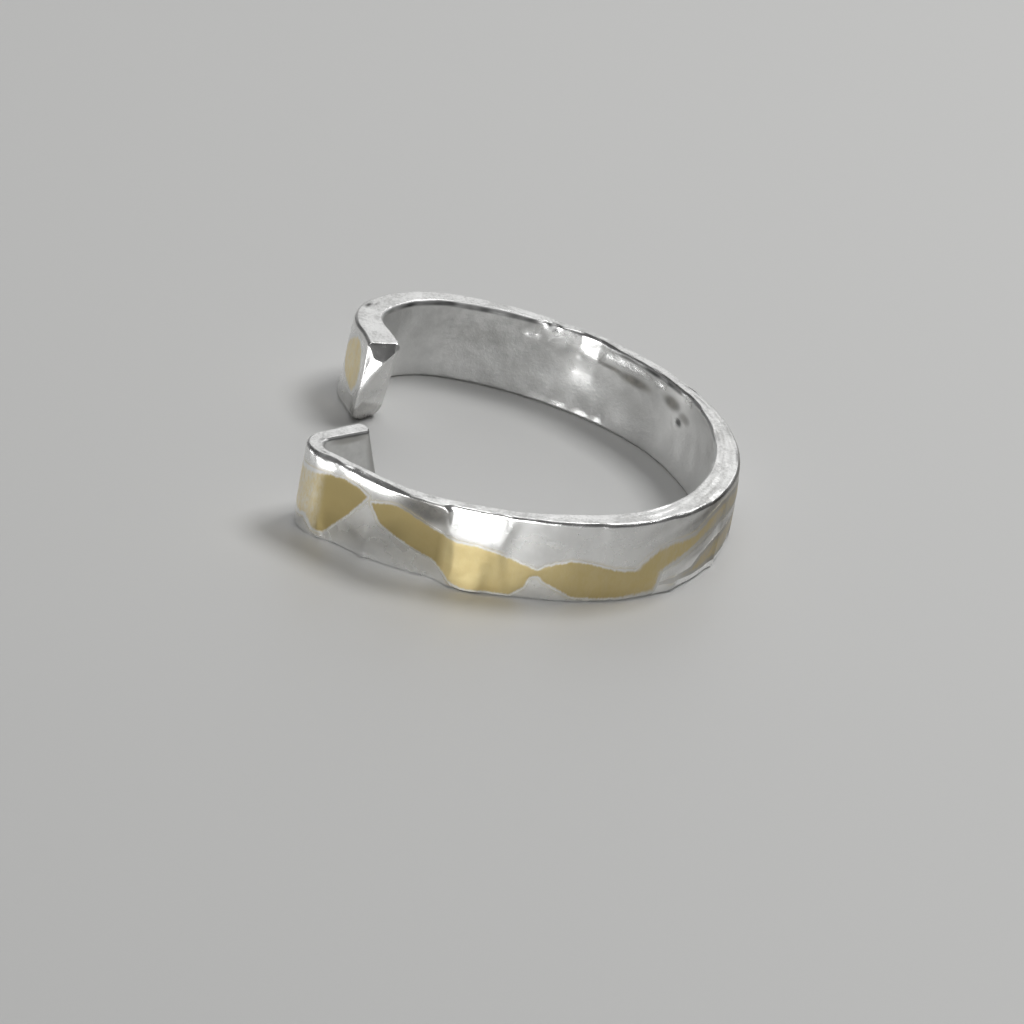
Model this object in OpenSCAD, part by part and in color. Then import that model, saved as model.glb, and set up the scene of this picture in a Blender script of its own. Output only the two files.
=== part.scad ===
// Open band ring of silver with fused gold foil, lying on its side. Millimetres, Z up.
// The origin is on the surface that the ring lies on, under the middle of its box.

/* [Band] */
// Height of the band as it lies, the width of its strip
band_height = 4; // [3:0.5:6]
// Clear width of the finger hollow, front to back of the hand
hollow_width = 16.8; // [15:0.4:21]
// Radius worn onto the long edges
edge_round = 0.18; // [0.1:0.02:0.24]

/* [Ends] */
// Rounding of the edge round each end face
end_round = 0.3; // [0.1:0.05:0.35]
// How much further the rear end reaches at its foot than at its top
rear_slant = 0.4; // [0:0.1:1]
// How much further the front end reaches at its foot than at its top
front_slant = 1.4; // [0:0.1:1.6]
// Radius of the filed lower corner of the rear end, seen from outside
rear_corner = 0.4; // [0.2:0.1:1.2]
// Radius of the filed lower corner of the front end, seen from outside
front_corner = 0.9; // [0.2:0.1:1.2]
// Radius that the rear end's foot is rounded to, across its thickness
rear_foot_round = 0.6; // [0.25:0.05:0.65]

/* [Gold] */
// Thickness of the gold foil
foil_thickness = 0.06; // [0.04:0.01:0.15]
// Gap between the foil and the silver under it
foil_gap = 0.02; // [0.02:0.01:0.05]

/* [Hidden] */

silver = [0.74, 0.74, 0.75];
gold = [0.83, 0.69, 0.34];

// The stretches of the band from the rear end round to the front end. The first three columns
// are the length, the turn towards the finger in degrees, and the thickness at the far end.
// The last is how far the wall leans outwards there, in degrees, going down from the top edge.
LENGTH = 0;
TURN = 1;
THICKNESS = 2;
LEAN = 3;
stretches = [
    [1.5, -13, 1.40, 4],
    [2.2, 58, 1.25, 2],
    [4.3, 58, 0.95, -2],
    [5.4, 23, 0.70, -5],
    [5.5, 24, 0.75, -3],
    [8.6, 51, 1.35, 3],
    [8.6, 61, 1.10, -1],
    [7.9, 33, 0.70, -2],
    [3.1, 22, 0.65, -1],
    [2.5, -3, 0.75, 0],
    [2.1, 114, 0.85, -1],
    [2.2, -1, 0.90, 0],
];
// Thickness, lean and heading at the rear end
first_thickness = 1.5;
first_lean = 5;
first_heading = 109;

// The gold pieces, a row for each place along the band: distance from the rear end, and the
// heights of the lower and upper edge on a band 4 mm high
ALONG = 0;
LOWER = 1;
UPPER = 2;
front_rows = [
    [24.0, 2.5, 2.7], [26.5, 2.3, 3.1], [29.2, 2.4, 3.2], [30.7, 2.3, 3.1], [32.0, 2.0, 2.75],
    [32.9, 1.6, 2.75], [33.5, 1.3, 2.65], [33.9, 0.2, 2.5], [34.9, 0.2, 1.6], [35.9, 0.2, 1.7],
    [37.3, 0.2, 2.15], [38.3, 0.6, 2.1], [39.1, 1.1, 1.7], [39.5, 1.1, 1.65], [39.9, 0.3, 1.8],
    [41.0, 0.2, 2.2], [42.7, 0.2, 2.35], [43.5, 0.7, 2.5], [44.3, 1.15, 2.85], [45.3, 1.5, 3.2],
    [46.2, 2.0, 3.2], [46.9, 2.75, 3.0],
];
left_rows = [
    [47.05, 2.9, 3.1], [47.6, 2.1, 3.4], [48.3, 1.2, 3.5], [48.9, 0.4, 3.45], [49.6, 0.3, 3.35],
    [49.9, 0.7, 3.2], [50.4, 0.6, 3.2], [51.2, 0.9, 3.3], [51.9, 1.8, 2.9],
];
low_rows = [
    [24.5, 0.6, 0.8], [27.0, 0.25, 1.3], [29.3, 0.25, 1.5], [30.9, 0.25, 1.2], [32.2, 0.25, 1.0],
    [33.5, 0.6, 0.8],
];
rear_rows = [
    [0.5, 1.2, 2.8], [0.9, 0.9, 3.5], [1.5, 0.9, 3.7], [2.1, 1.3, 3.2], [2.5, 2.0, 2.7],
];

// Turn of the band, turn of a rounded edge, and length of band or foil that one step may take
turn_step = 7;
corner_turn = 30;
band_step = 0.6;
foil_step = 0.2;
// Length of band over which an end's slant and filed corners fade out
end_run = 2;
// Heights on the wall, as shares of the band's height, where the solid has points
wall_shares = [0.22, 0.36, 0.5, 0.64, 0.78];
// How much deeper than its foot the band is drawn, before its foot is cut flat
foot_cut = 0.02;
big = 100;

designed_width = 16.8;
designed_height = 4;
run_scale = hollow_width / designed_width;
height_scale = band_height / designed_height;

function blend(a, b, t) = a + (b - a) * t;
function sum_of(list, count) = count == 0 ? 0 : list[count - 1] + sum_of(list, count - 1);

// Where each stretch begins along the band, with the whole length last
lengths = [for (row = stretches) row[LENGTH] * run_scale];
reach = [for (i = [0:len(stretches)]) sum_of(lengths, i)];
band_length = reach[len(stretches)];

// Place and heading, [x, y, heading], after a length of arc that turns right
function advance(from, length, turn) =
    abs(turn) < 0.01
    ? [from.x + length * cos(from.z), from.y + length * sin(from.z), from.z]
    : let (radius = length / (turn * PI / 180), to = from.z - turn)
      [from.x + radius * (sin(from.z) - sin(to)), from.y - radius * (cos(from.z) - cos(to)), to];

function begin(i) =
    i == 0 ? [0, 0, first_heading] : advance(begin(i - 1), lengths[i - 1], stretches[i - 1][TURN]);
begins = [for (i = [0:len(stretches) - 1]) begin(i)];

// The stretch that holds a distance along the band, and the share of the stretch run by then
function stretch_at(along) = max([for (i = [0:len(stretches) - 1]) if (i == 0 || reach[i] <= along) i]);
function share_at(along) = let (i = stretch_at(along)) (along - reach[i]) / lengths[i];

// Thickness or lean at a distance along the band, eased from stretch to stretch
function eased(along, column, first) =
    let (i = stretch_at(along), t = min(max(share_at(along), 0), 1))
    blend(i == 0 ? first : stretches[i - 1][column], stretches[i][column], t * t * (3 - 2 * t));
function thickness(along) = eased(along, THICKNESS, first_thickness);
function lean(along) = tan(eased(along, LEAN, first_lean));

// A point of the ring before it is centred: a distance along the band, a distance outwards from
// its middle line, and a height
function unplaced(along, outwards, height) =
    let (
        i = stretch_at(along),
        t = share_at(along),
        at = advance(begins[i], t * lengths[i], t * stretches[i][TURN]),
        away = outwards + lean(along) * (band_height - height)
    )
    [at.x - away * sin(at.z), at.y + away * cos(at.z), height];

// The box of the band's outer wall, whose middle goes to the origin
rim = [for (i = [0:300], height = [0, band_height])
    let (along = i / 300 * band_length) unplaced(along, thickness(along) / 2, height)];
middle = [for (axis = [0:1]) (max([for (p = rim) p[axis]]) + min([for (p = rim) p[axis]])) / 2];
function place(along, outwards, height) = unplaced(along, outwards, height) - [middle.x, middle.y, 0];

// How much of an end's shape applies: 1 at the end's face, 0 from end_run inwards
function near_end(from_end) = pow(max(1 - from_end / end_run, 0), 2);
// How far the edge of an end has drawn in at a distance from the end's face
function drawn_in(from_end) =
    let (left = max(end_round - from_end, 0)) end_round - sqrt(end_round * end_round - left * left);

// How far an end reaches beyond its top at a height: its slant, less its filed lower corner
function reach_at(height, slant, corner) =
    let (short = corner - min(max(height, 0), corner))
    slant * (1 - height / band_height) - corner + sqrt(corner * corner - short * short);

// A quarter circle about a centre, from one heading anticlockwise
function corner(centre, radius, from) =
    [for (a = [from:corner_turn:from + 90]) centre + radius * [cos(a), sin(a)]];

// Section of the band as [outwards, height] points, anticlockwise from the inner foot
function section(half, low, high, foot_round) =
    let (
        inner_foot = corner([foot_round - half, low + foot_round], foot_round, 180),
        outer_foot = corner([half - foot_round, low + foot_round], foot_round, 270),
        outer_top = corner([half - edge_round, high - edge_round], edge_round, 0),
        inner_top = corner([edge_round - half, high - edge_round], edge_round, 90),
        outer_wall = [for (share = wall_shares) [half, blend(low, high, share)]],
        inner_wall = [for (share = wall_shares) [-half, blend(high, low, share)]]
    )
    concat(inner_foot, outer_foot, outer_wall, outer_top, inner_top, inner_wall);

function ring_at(along) =
    let (
        from_rear = along,
        from_front = band_length - along,
        inset = drawn_in(min(from_rear, from_front)),
        foot_round = blend(edge_round, rear_foot_round, near_end(from_rear)),
        points = section(thickness(along) / 2 - inset, inset - foot_cut, band_height - inset, foot_round)
    )
    [for (p = points)
        let (
            rear = near_end(from_rear) * reach_at(p.y, rear_slant, rear_corner),
            front = near_end(from_front) * reach_at(p.y, front_slant, front_corner)
        )
        place(along - rear + front, p.x, p.y)];

// Places along the band where the solid has a ring of points
end_stations = [for (share = [0, 0.08, 0.3, 0.6]) share * end_round];
run_stations = [for (i = [0:len(stretches) - 1])
    let (steps = ceil(max(abs(stretches[i][TURN]) / turn_step, lengths[i] / band_step)))
    for (j = [0:steps - 1]) reach[i] + lengths[i] * j / steps];
stations = concat(
    end_stations,
    [for (along = run_stations) if (along > end_round && along < band_length - end_round) along],
    [for (i = [len(end_stations) - 1:-1:0]) band_length - end_stations[i]]);

function centre_of(ring) = [for (axis = [0:2]) sum_of([for (p = ring) p[axis]], len(ring)) / len(ring)];

// Solid through rings of points that all run the same way round
module loft(rings) {
    count = len(rings[0]);
    last = len(rings) - 1;
    points = concat(
        [for (ring = rings, p = ring) p],
        [centre_of(rings[0]), centre_of(rings[last])]);
    near_cap = len(points) - 2;
    far_cap = len(points) - 1;
    sides = [for (i = [0:last - 1], j = [0:count - 1])
        let (a = i * count + j, b = i * count + (j + 1) % count)
        each [[a, a + count, b], [b, a + count, b + count]]];
    caps = [for (j = [0:count - 1])
        let (k = (j + 1) % count)
        each [[near_cap, j, k], [far_cap, last * count + k, last * count + j]]];
    polyhedron(points, concat(sides, caps), convexity = 8);
}

// Places along a gold piece: its rows, and enough between them to follow the bend
function foil_places(rows) = concat(
    [for (i = [0:len(rows) - 2])
        let (steps = ceil((rows[i + 1][ALONG] - rows[i][ALONG]) / foil_step))
        for (j = [0:steps - 1])
        let (t = j / steps)
        [for (column = [ALONG, LOWER, UPPER]) blend(rows[i][column], rows[i + 1][column], t)]],
    [rows[len(rows) - 1]]);

module foil(rows) {
    loft([for (row = foil_places(rows))
        let (
            along = row[ALONG] * run_scale,
            low = row[LOWER] * height_scale,
            high = row[UPPER] * height_scale,
            inside = thickness(along) / 2 + foil_gap,
            outside = inside + foil_thickness
        )
        [
            place(along, inside, low),
            place(along, outside, low),
            place(along, outside, high),
            place(along, inside, high),
        ]]);
}

// The silver strip, bent into an open ring, with a flat foot
module band() {
    color(silver)
    difference() {
        loft([for (along = stations) ring_at(along)]);
        translate([-big / 2, -big / 2, -big])
        cube(big);
    }
}

// The long gold ribbon across the front and round the right side
module foil_front() {
    color(gold)
    foil(front_rows);
}

// The gold panel round the left bend
module foil_left() {
    color(gold)
    foil(left_rows);
}

// The gold streak near the foot at the right
module foil_low() {
    color(gold)
    foil(low_rows);
}

// The gold patch on the rear end
module foil_rear() {
    color(gold)
    foil(rear_rows);
}

band();
foil_front();
foil_left();
foil_low();
foil_rear();
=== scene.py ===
"""An open band ring of hammered silver with gold foil, lying on a plain pale floor.

Lengths in the tables are in millimetres and angles in degrees; meshes are made in metres.
Distances along the band run from its rear end round the back to its front end, and heights from
its foot, at 0, to its rim. "across" runs from -1 on the inner face to 1 on the outer face.
A pair whose name ends in FROM holds where something starts and the run over which it grows full.
A negative start counts the other way.
"""
import math

import bpy
import numpy as np
from mathutils import Matrix, Vector


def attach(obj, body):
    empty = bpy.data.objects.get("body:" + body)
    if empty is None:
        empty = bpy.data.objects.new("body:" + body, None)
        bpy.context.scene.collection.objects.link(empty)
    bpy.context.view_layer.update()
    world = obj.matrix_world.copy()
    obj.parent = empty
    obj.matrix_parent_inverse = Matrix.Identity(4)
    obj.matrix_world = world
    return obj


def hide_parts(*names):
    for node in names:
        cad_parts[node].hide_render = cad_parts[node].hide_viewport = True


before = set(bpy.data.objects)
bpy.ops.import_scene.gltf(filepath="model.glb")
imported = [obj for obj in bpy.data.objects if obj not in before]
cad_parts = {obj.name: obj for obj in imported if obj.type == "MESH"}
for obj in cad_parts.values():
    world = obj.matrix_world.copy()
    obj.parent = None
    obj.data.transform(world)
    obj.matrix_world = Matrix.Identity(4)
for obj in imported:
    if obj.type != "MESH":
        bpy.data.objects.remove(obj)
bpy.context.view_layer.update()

MM = 0.001

# The path of the band from its rear end: length, turn to the right, then thickness and lean at
# the stretch's far end
STRETCHES = np.array([
    (1.5, -13, 1.4, 4), (2.2, 58, 1.25, 2), (4.3, 58, 0.95, -2), (5.4, 23, 0.7, -5),
    (5.5, 24, 0.75, -3), (8.6, 51, 1.35, 3), (8.6, 61, 1.1, -1), (7.9, 33, 0.7, -2),
    (3.1, 22, 0.65, -1), (2.5, -3, 0.75, 0), (2.1, 114, 0.85, -1), (2.2, -1, 0.9, 0),
])
LENGTH, TURN, THICKNESS, LEAN = range(4)
FIRST_THICKNESS, FIRST_LEAN, FIRST_HEADING = 1.5, 5, 109
MIDDLE = (7.36261, -3.70245, 0)
HEIGHT = 4
HALF_UP = HEIGHT / 2
EDGE_ROUND, RIM_END_ROUND, REAR_FOOT_ROUND = 0.18, 0.35, 0.6
REAR_END_ROUND, FRONT_END_ROUND = 0.08, 0.2
FRONT_SLANT, FRONT_CORNER = 1.4, 0.9
# How far along the band the slant of the front end and the round foot of the rear end reach
END_RUN = 2

REACH = np.concatenate([[0], np.cumsum(STRETCHES[:, LENGTH])])
BAND_LENGTH = REACH[-1]
TURNS = np.radians(STRETCHES[:, TURN])
RADII = STRETCHES[:, LENGTH] / TURNS

# The rear end is filed with flats. For each: how far back its face lies, and how that changes a
# millimetre further down and from the middle to the outer side. They go down as far as REAR_DOWN,
# and below REAR_TUCK_FROM the end is rounded back underneath.
REAR_FLATS = {
    "top": (0, -0.62, 0), "front": (-0.253, -0.31, 0.065), "inner": (-0.628, 0.074, -0.407),
    "corner": (-0.354, -0.391, 0.3),
}
REAR_DOWN = 2.3
REAR_HALF = FIRST_THICKNESS / 2
REAR_TUCK_FROM, REAR_TUCK = 2.6, 0.19
# Width of the creases between the flats, and how much wider they are lower down
REAR_CREASE, REAR_SOFTER, REAR_SOFTER_FROM = 0.012, 0.1, (0.9, 0.7)
# A small raised spot on the end: across, how far down, radius and height
REAR_SPOT = (-0.1, 2.6, 0.2, 0.09)
FRONT_CROWN = 0.15
# How far along the band the faces of the ends change its shape
CROWN_RUN = 1.4
# Where the relief of the two faces fades out before the ends
RELIEF_FADE = 0.6

# Seeded hammer marks: seed, from where to where along, how many, depth, and steepest tilt
OUTER_MARKS = [(11, 0, 27, 22, 0.07, 3), (12, 51.5, BAND_LENGTH, 3, 0.05, 2)]
INNER_MARKS = [(13, 3, 26, 20, 0.03, 1), (14, 27, 51, 16, 0.03, 1)]
# The heights they lie at, and how flat their hollows are along the band and upright
MARK_HEIGHTS, MARK_LONG, MARK_TALL = (0.3, 3.7), 16, 22
# How soft the creases between the facets and marks are
OUTER_CREASE, INNER_CREASE = 0.03, 0.025
# How much lower the outer face lies at rim and foot, and where that starts and ends
OUTER_CROWN, OUTER_CROWN_FROM, LESS_CROWN_FROM = 0.05, (3, 2), (40, 1)
# Fine unevenness: how high, its seed, and the length and height of its bumps
OUTER_FINE, INNER_FINE = (0.004, 21, 0.9, 0.9), (0.003, 22, 0.8, 0.8)
INNER_GRAIN, INNER_CHATTER = (0.0012, 25, 0.25, 0.25), (0.007, 26, 0.4, 0.3)
RIM_SLOW, RIM_QUICK, RIM_GROOVES = (0.02, 23, 1.6, 2), (0.009, 24, 0.4, 0.8), (0.022, 27, 1.1, 0.35)
# Facets on the outer face: distance along, height, depth, tilt up, turn, half length, half
# height, and how steeply its border rises on the side of the rear end and on the other side
OUTER_FACETS = [
    (42.2, 3.1, 0.085, 8, 0, 1.07, 2.6, 0.5, 16),
    (45.2, 2.2, 0.05, -6, -3, 1.4, 2.4, 0.3, 0.3),
    (48, 2.2, 0.04, -2, 2, 0.8, 2.4, 0.25, 0.25),
    (38.6, 2, 0.04, 2, 1, 1.8, 2.4, 0.25, 0.25),
    (34.6, 2, 0.04, 0, -1, 1.4, 2.4, 0.25, 0.25),
    (31.2, 2.2, 0.05, -4, -3, 1.2, 2.4, 0.25, 0.25),
    (28.3, 2, 0.05, -4, 2, 1, 2.4, 0.25, 0.25),
]
# How much gentler the border on the other side is at the rim
RIM_EASE, RIM_EASE_FROM = 0.93, (3.3, 0.6)
# The outer face's roll under the rim at the left: distance along, strength and from what height
SHOULDER = np.array([
    (45.2, 0, 3.2), (45.9, 0.22, 3.2), (46.5, 0.36, 3.2), (47.5, 0.48, 3.3), (48.1, 0.45, 3.3),
    (48.5, 0.2, 3.25), (48.75, 0.16, 3.2), (49.05, 0.3, 3.15), (49.6, 0.34, 3.15), (50.1, 0.14, 3.1),
    (50.6, 0, 3),
])
# A swelling of the wall under the bright facet, full at the foot and gone under the rim, in the
# columns of the dents
OUTER_SWELLING = [(42.4, 0.95, -3.4, -1.2, 4, -0.163, 0)]
# Dents: distance along and half length, the heights where each starts, is deepest and has risen
# back, its depth and how polished it is
INNER_DENTS = [
    (14.75, 1.1, 3.2, 4.6, 7, 0.27, 1), (14.85, 0.7, 2.92, 3.45, 4.5, 0.085, 1),
    (12.85, 0.36, 3.6, 3.9, 4.6, 0.055, 1), (11.9, 0.36, 2.95, 3.25, 4, 0.055, 0.6),
    (14.35, 0.2, 2.7, 2.92, 3.3, 0.035, 1), (14.7, 0.85, 1.35, 2.35, 3.9, 0.085, 0.1),
    (13.2, 1.15, 2.9, 3.9, 5, 0.08, 0.6), (17.1, 1.4, 3.3, 3.75, 4.6, 0.06, 1),
    (19.2, 0.35, 3.35, 3.65, 4.4, 0.05, 1), (21.1, 0.45, 3.4, 3.8, 4.6, 0.045, 0.4),
    (12.7, 0.45, 0.15, 0.36, 1.3, 0.03, 0.7), (13.85, 0.5, 0.12, 0.36, 1.3, 0.045, 0.7),
    (15.15, 0.5, 0.1, 0.34, 1.3, 0.05, 0.7), (16.1, 0.3, 0.12, 0.36, 1.3, 0.045, 0.7),
]
# How far out the polish of a dent starts, in the dent's own half lengths
POLISH_FROM = (-1.5, 0.5)
# A small pit inside: distance along, height, half length and half height; then its depth, and
# the height and place of the burr round it
PIT = (20.9, 2.45, 0.25, 0.18)
PIT_DEPTH, PIT_BURR, PIT_BURR_AT = 0.05, 0.012, 2.2
# Stretches, as from, to and how far they fade in and out: rough hammering inside under the rim,
# the lean of the inner face at the right, and the rim's grooves and dark lines
ROUGH, ROUGH_FROM = (11, 21.5, 1.5), (2.9, 0.5)
LEANING, INNER_LEAN = (19, 29, 3), 0.05
GROOVED = (17, 36, 3)
LINED = (20, 37, 3)

# Nicks in the rim: distance along, place across, half length, half width, depth and blackness
RIM_NICKS = [
    (3.5, 0.5, 0.22, 0.17, 0.02, 0.95), (3.85, 0.2, 0.2, 0.12, 0.02, 0.5),
    (12.6, -0.62, 0.24, 0.16, 0.05, 1), (16.9, -0.55, 0.35, 0.15, 0.03, 0.5),
    (18.6, -0.55, 0.35, 0.15, 0.03, 0.6), (21.6, 0.75, 0.3, 0.15, 0.03, 0.4),
    (24.8, -0.62, 0.6, 0.15, 0.03, 0.5), (26.5, 0.7, 0.6, 0.12, 0.03, 0.5),
    (44.4, -0.2, 0.25, 0.2, 0.03, 0.2), (49.8, 0.3, 0.2, 0.25, 0.04, 0.3),
    (51.2, -0.3, 0.2, 0.3, 0.04, 0.3),
]
# How much lower the rim lies, so that its waver stays below HEIGHT, and how far down it is felt
RIM_SINK, RIM_DEPTH = 0.04, 0.6
# Width of the rim's bevels, as depth of the cut, at distances along the band
OUTER_BEVEL = [
    (0, 0.09), (27, 0.1), (29, 0.12), (34, 0.11), (40, 0.1), (43, 0.09), (45.2, 0.11), (46.2, 0.15),
    (47.6, 0.14), (48.4, 0.07), (49.3, 0.04), (54, 0.05),
]
INNER_BEVEL = [
    (0, 0.09), (4, 0.1), (8, 0.12), (13.8, 0.12), (14.2, 0.05), (15.6, 0.05), (16, 0.13), (21, 0.13),
    (24, 0.16), (27, 0.14), (30, 0.1), (48, 0.09), (50, 0.05), (51.5, 0.07), (54, 0.07),
]
# The angle, the unevenness and the seed of each bevel
OUTER_BEVEL_CUT, INNER_BEVEL_CUT = (44, 0.006, 31), (34, 0.014, 32)
# How soft the borders of the bevels are, and the length of their waves
BEVEL_SOFT, BEVEL_WAVE = 0.03, 0.6
# The height of the wall from which the outer bevel's cut is measured
BEVEL_FOOT = 3.85

# Seeded unevenness is a sum of waves: how many, their slowest and quickest, and what divides the sum
WAVE_COUNT, WAVE_SPEEDS, WAVE_SHARE = 14, (0.5, 1.4), 6

# Points round the band's section: foot, each rounded edge, outer face, rim and inner face
FOOT_COUNT, CORNER_COUNT, OUTER_COUNT, RIM_COUNT, INNER_COUNT = 8, 7, 52, 20, 38
# How much closer the points of the two faces lie towards the rim
FACE_POWER = 1.5
# Sections near each end, the gaps from them to the even sections, and the step of those
END_SECTIONS = np.array([0, 0.012, 0.04, 0.08, 0.13, 0.19, 0.25])
REAR_GAP, FRONT_GAP, SECTION_STEP = 0.08, 0.04, 0.1
# Rings of an end's face, and how far in they reach
CAP_RINGS, CAP_REACH = 10, 0.99

# The outlines of the gold, lower and upper, as distance along and height
FRONT_LOWER = [
    (24, 2.55), (26.5, 2.4), (28.4, 2.5), (30.15, 2.4), (31.1, 2.25), (32.25, 1.8), (33.15, 1.25),
    (33.45, 1.15), (33.5, 0.65), (33.65, 0.15), (36, 0.1), (37.7, 0.25), (38.35, 0.6), (39.05, 1),
    (39.2, 1.2), (39.55, 1.1), (39.65, 0.6), (39.85, 0.4), (40.2, 0.1), (42.4, 0.06), (42.85, 0.2),
    (43.35, 0.6), (43.85, 1), (44.35, 1.15), (45.3, 1.5), (46.4, 2.05), (46.9, 2.75),
]
FRONT_UPPER = [
    (24, 2.65), (26.5, 3.2), (28, 3.5), (29.3, 3.65), (30.3, 3.6), (31.05, 3.35), (31.9, 2.9),
    (32.95, 2.8), (33.95, 2.55), (34.4, 2.25), (34.75, 1.85), (34.95, 1.65), (35.9, 1.75), (36.85, 2.05),
    (37.8, 2.2), (38.6, 2), (39, 1.85), (39.3, 1.6), (40.1, 1.85), (41, 2.2), (41.9, 2.35),
    (42.75, 2.35), (43.25, 2.45), (44.15, 2.8), (45.1, 3.15), (45.6, 3.3), (46.05, 3.25), (46.9, 2.95),
]
LEFT_LOWER = [
    (47, 2.95), (47.8, 1.8), (48.6, 0.75), (48.95, 0.35), (49.55, 0.3), (49.95, 0.8), (50.35, 0.65),
    (51.2, 0.95), (51.9, 1.9),
]
LEFT_UPPER = [
    (47, 3.15), (47.55, 3.4), (48.35, 3.45), (49.3, 3.35), (50.4, 3.15), (51.2, 3.2), (51.9, 2.8),
]
LOW_LOWER = [(24.5, 0.65), (27, 0.45), (29.3, 0.4), (30.9, 0.4), (31.6, 0.42), (33.5, 0.5)]
LOW_UPPER = [
    (24.5, 0.75), (27, 1.8), (28.5, 1.95), (30.4, 1.65), (31.1, 1.35), (31.6, 0.9), (33.5, 0.66),
]
REAR_LOWER = [(0.35, 1.6), (0.6, 1), (0.95, 0.9), (1.5, 0.95), (2.1, 1.3), (2.5, 2.05)]
REAR_UPPER = [(0.35, 2.6), (0.6, 3.3), (0.95, 3.6), (1.5, 3.7), (2.1, 3.2), (2.5, 2.6)]
# Each piece of gold: its outline and the seed of its ragged edges
FOILS = {
    "foil_front": (FRONT_LOWER, FRONT_UPPER, 41),
    "foil_left": (LEFT_LOWER, LEFT_UPPER, 43),
    "foil_low": (LOW_LOWER, LOW_UPPER, 45),
    "foil_rear": (REAR_LOWER, REAR_UPPER, 47),
}
# How far the gold is rubbed thin, how much painted shade darkens it, and how wide its edge fades, along
# the band
RUBBED = [
    (0, 0.55), (3, 0.55), (24, 0.9), (30, 0.85), (32, 0.4), (34, 0.1), (49.2, 0), (49.7, 0.75), (52, 0.8),
]
DARK_GOLD = [
    (0, 0.1), (3, 0.1), (24, 1), (31, 1), (33, 0.8), (38, 0.78), (39, 0.69), (40, 0.57), (41, 0.46),
    (41.8, 0.12), (42.3, 0), (43.25, 0), (43.65, 0.9), (49.3, 0.9), (49.7, 0.25),
]
FADE = [
    (0, 0.42), (3, 0.42), (24, 0.6), (31, 0.5), (34, 0.45), (36, 0.22), (49.2, 0.22), (49.7, 0.4),
    (52, 0.5),
]
# Where the rubbing of the gold runs in streaks, and how strongly
STREAKED_FROM, STREAKED_TO, STREAKED = 20, 35, 0.6
# Streaks in the rubbing and in the darkening, as fine unevenness, and how steeply they run down
STREAKS, STREAK_FALL = (1, 51, 2.5, 0.3), 0.3
# How much of the fading depends on the rubbing, and how far up the patches of painted shade under the gold
# are moved
FADE_SHARE, SHADE_LIFT = 0.2, 0.15
# Step along the band, rows, and how much closer the rows lie towards the edges
FOIL_STEP, FOIL_ROWS, FOIL_CROWDING = 0.07, 20, 0.07
# How high its edge lies over the wall, how much higher its middle, and how wide the rise is
FOIL_LIFT, FOIL_THICKNESS, FOIL_EDGE = 0.004, 0.006, 0.25
# The angle from which an edge of the gold is shaded sharp
FOIL_SHARP = 40
# Raggedness of the gold's edges, as height and length of the waves, and the width below which
# it shrinks
RAGGED = ((0.03, 0.9), (0.018, 0.22))
RAGGED_FULL = 0.5
# How finely the outline is cut up for measuring how far in a point lies
OUTLINE_STEPS = 8

# The gold's blush on the silver beside it: its width, and from what place across
BLUSH_WIDTH, BLUSH_FROM = 0.09, (0.8, 0.2)
# From what place across a point is on one of the two faces, and, more softly, in the satin inside
FACE_FROM, SATIN_FROM = (0.7, 0.2), (0.7, 0.25)
# How far up a point of the rim faces
RIM_FROM = (0.86, 0.1)
# How much darker the outer face is painted, at distances along the band
OUTER_DARKENING = [
    (0, 0), (22, 0), (25, 0.95), (30, 1), (31.5, 0.8), (33, 0.45), (35.5, 0.1), (37, 0), (43.3, 0),
    (43.5, 0.15), (46.5, 0.1), (47, 0),
]
# Patches of painted shade and dark reflections on the outer and inner face, and faint darker
# mottling inside: distance along, height, half length, half height, strength
OUTER_SHADE_PATCHES = [
    (44.4, 3.4, 1.35, 0.65, 0.9), (32, 0.25, 0.8, 0.2, 0.7), (45.2, 0.65, 1.5, 0.9, 1),
    (47.8, 0.8, 0.6, 0.5, 0.5), (31.5, 0.9, 0.5, 1, 0.5),
]
INNER_SHADE_AND_MOTTLING = [
    (17.6, 2.95, 1.05, 0.26, 0.95), (16.2, 3.02, 0.9, 0.12, 0.85), (20.15, 3.08, 0.65, 0.3, 0.9),
    (21.3, 2.85, 0.5, 0.22, 0.6), (9.5, 2.6, 1.6, 0.5, 0.12), (11.5, 1.3, 1.2, 0.4, 0.1),
    (17.5, 1.7, 1.6, 0.6, 0.12), (53.9, 2, 0.28, 4, 0.5), (52.7, 3.75, 1, 0.2, 0.6),
]
# How black the painted shade under the rim's inner edge is, along the band, and its height and half width
EDGE_SHADE = [
    (3, 0), (4.5, 0.7), (8, 0.75), (13.6, 0.6), (14, 0), (15.7, 0), (16.1, 0.8), (20.5, 0.75),
    (21.5, 0.1), (54, 0),
]
EDGE_SHADE_UP, EDGE_SHADE_HALF = 3.83, 0.13
# Painted shade on the front end's inner edge: how black, where it starts along the band, towards the
# inner face, up, and in how far it faces up, and where it ends in how far it faces up
FRONT_EDGE_BLACK = 0.8
FRONT_EDGE_FROM, FLAT_FROM = ((51, 0.6), (0.35, 0.2), (3.6, 0.15), (0.35, 0.15)), (0.96, 0.03)
# How dark the painted shade on the rear end's flats and rounded foot is, and how softly each starts
REAR_DARK = {"top": 0.3, "inner": 0.25, "corner": 0.1, "foot": 0.6}
REAR_SOFT = {"top": 0.05, "inner": 0.1, "corner": 0.03, "foot": 0.25}
# How far down the corner's painted shade goes, how far along the flats', and from where along the foot's
CORNER_DOWN, FLATS_ALONG, FOOT_ALONG_FROM = 1.8, 0.06, (-0.6, 0.4)
# The upper edge of the foot's painted shade: how far down, its rise towards the outer side, and its drop
# at the outermost corner
FOOT_DOWN, FOOT_RISE, FOOT_DROP, FOOT_DROP_FROM = 2.8, 0.3, 0.5, (0.6, 0.4)
# How much less darkened the outer face is beyond a place and below a height
LESS_DARKENING, LESS_DARKENING_FROM, LESS_DARKENING_BELOW_FROM = 0.5, (30.8, 0.5), (-1.6, 0.4)
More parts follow.
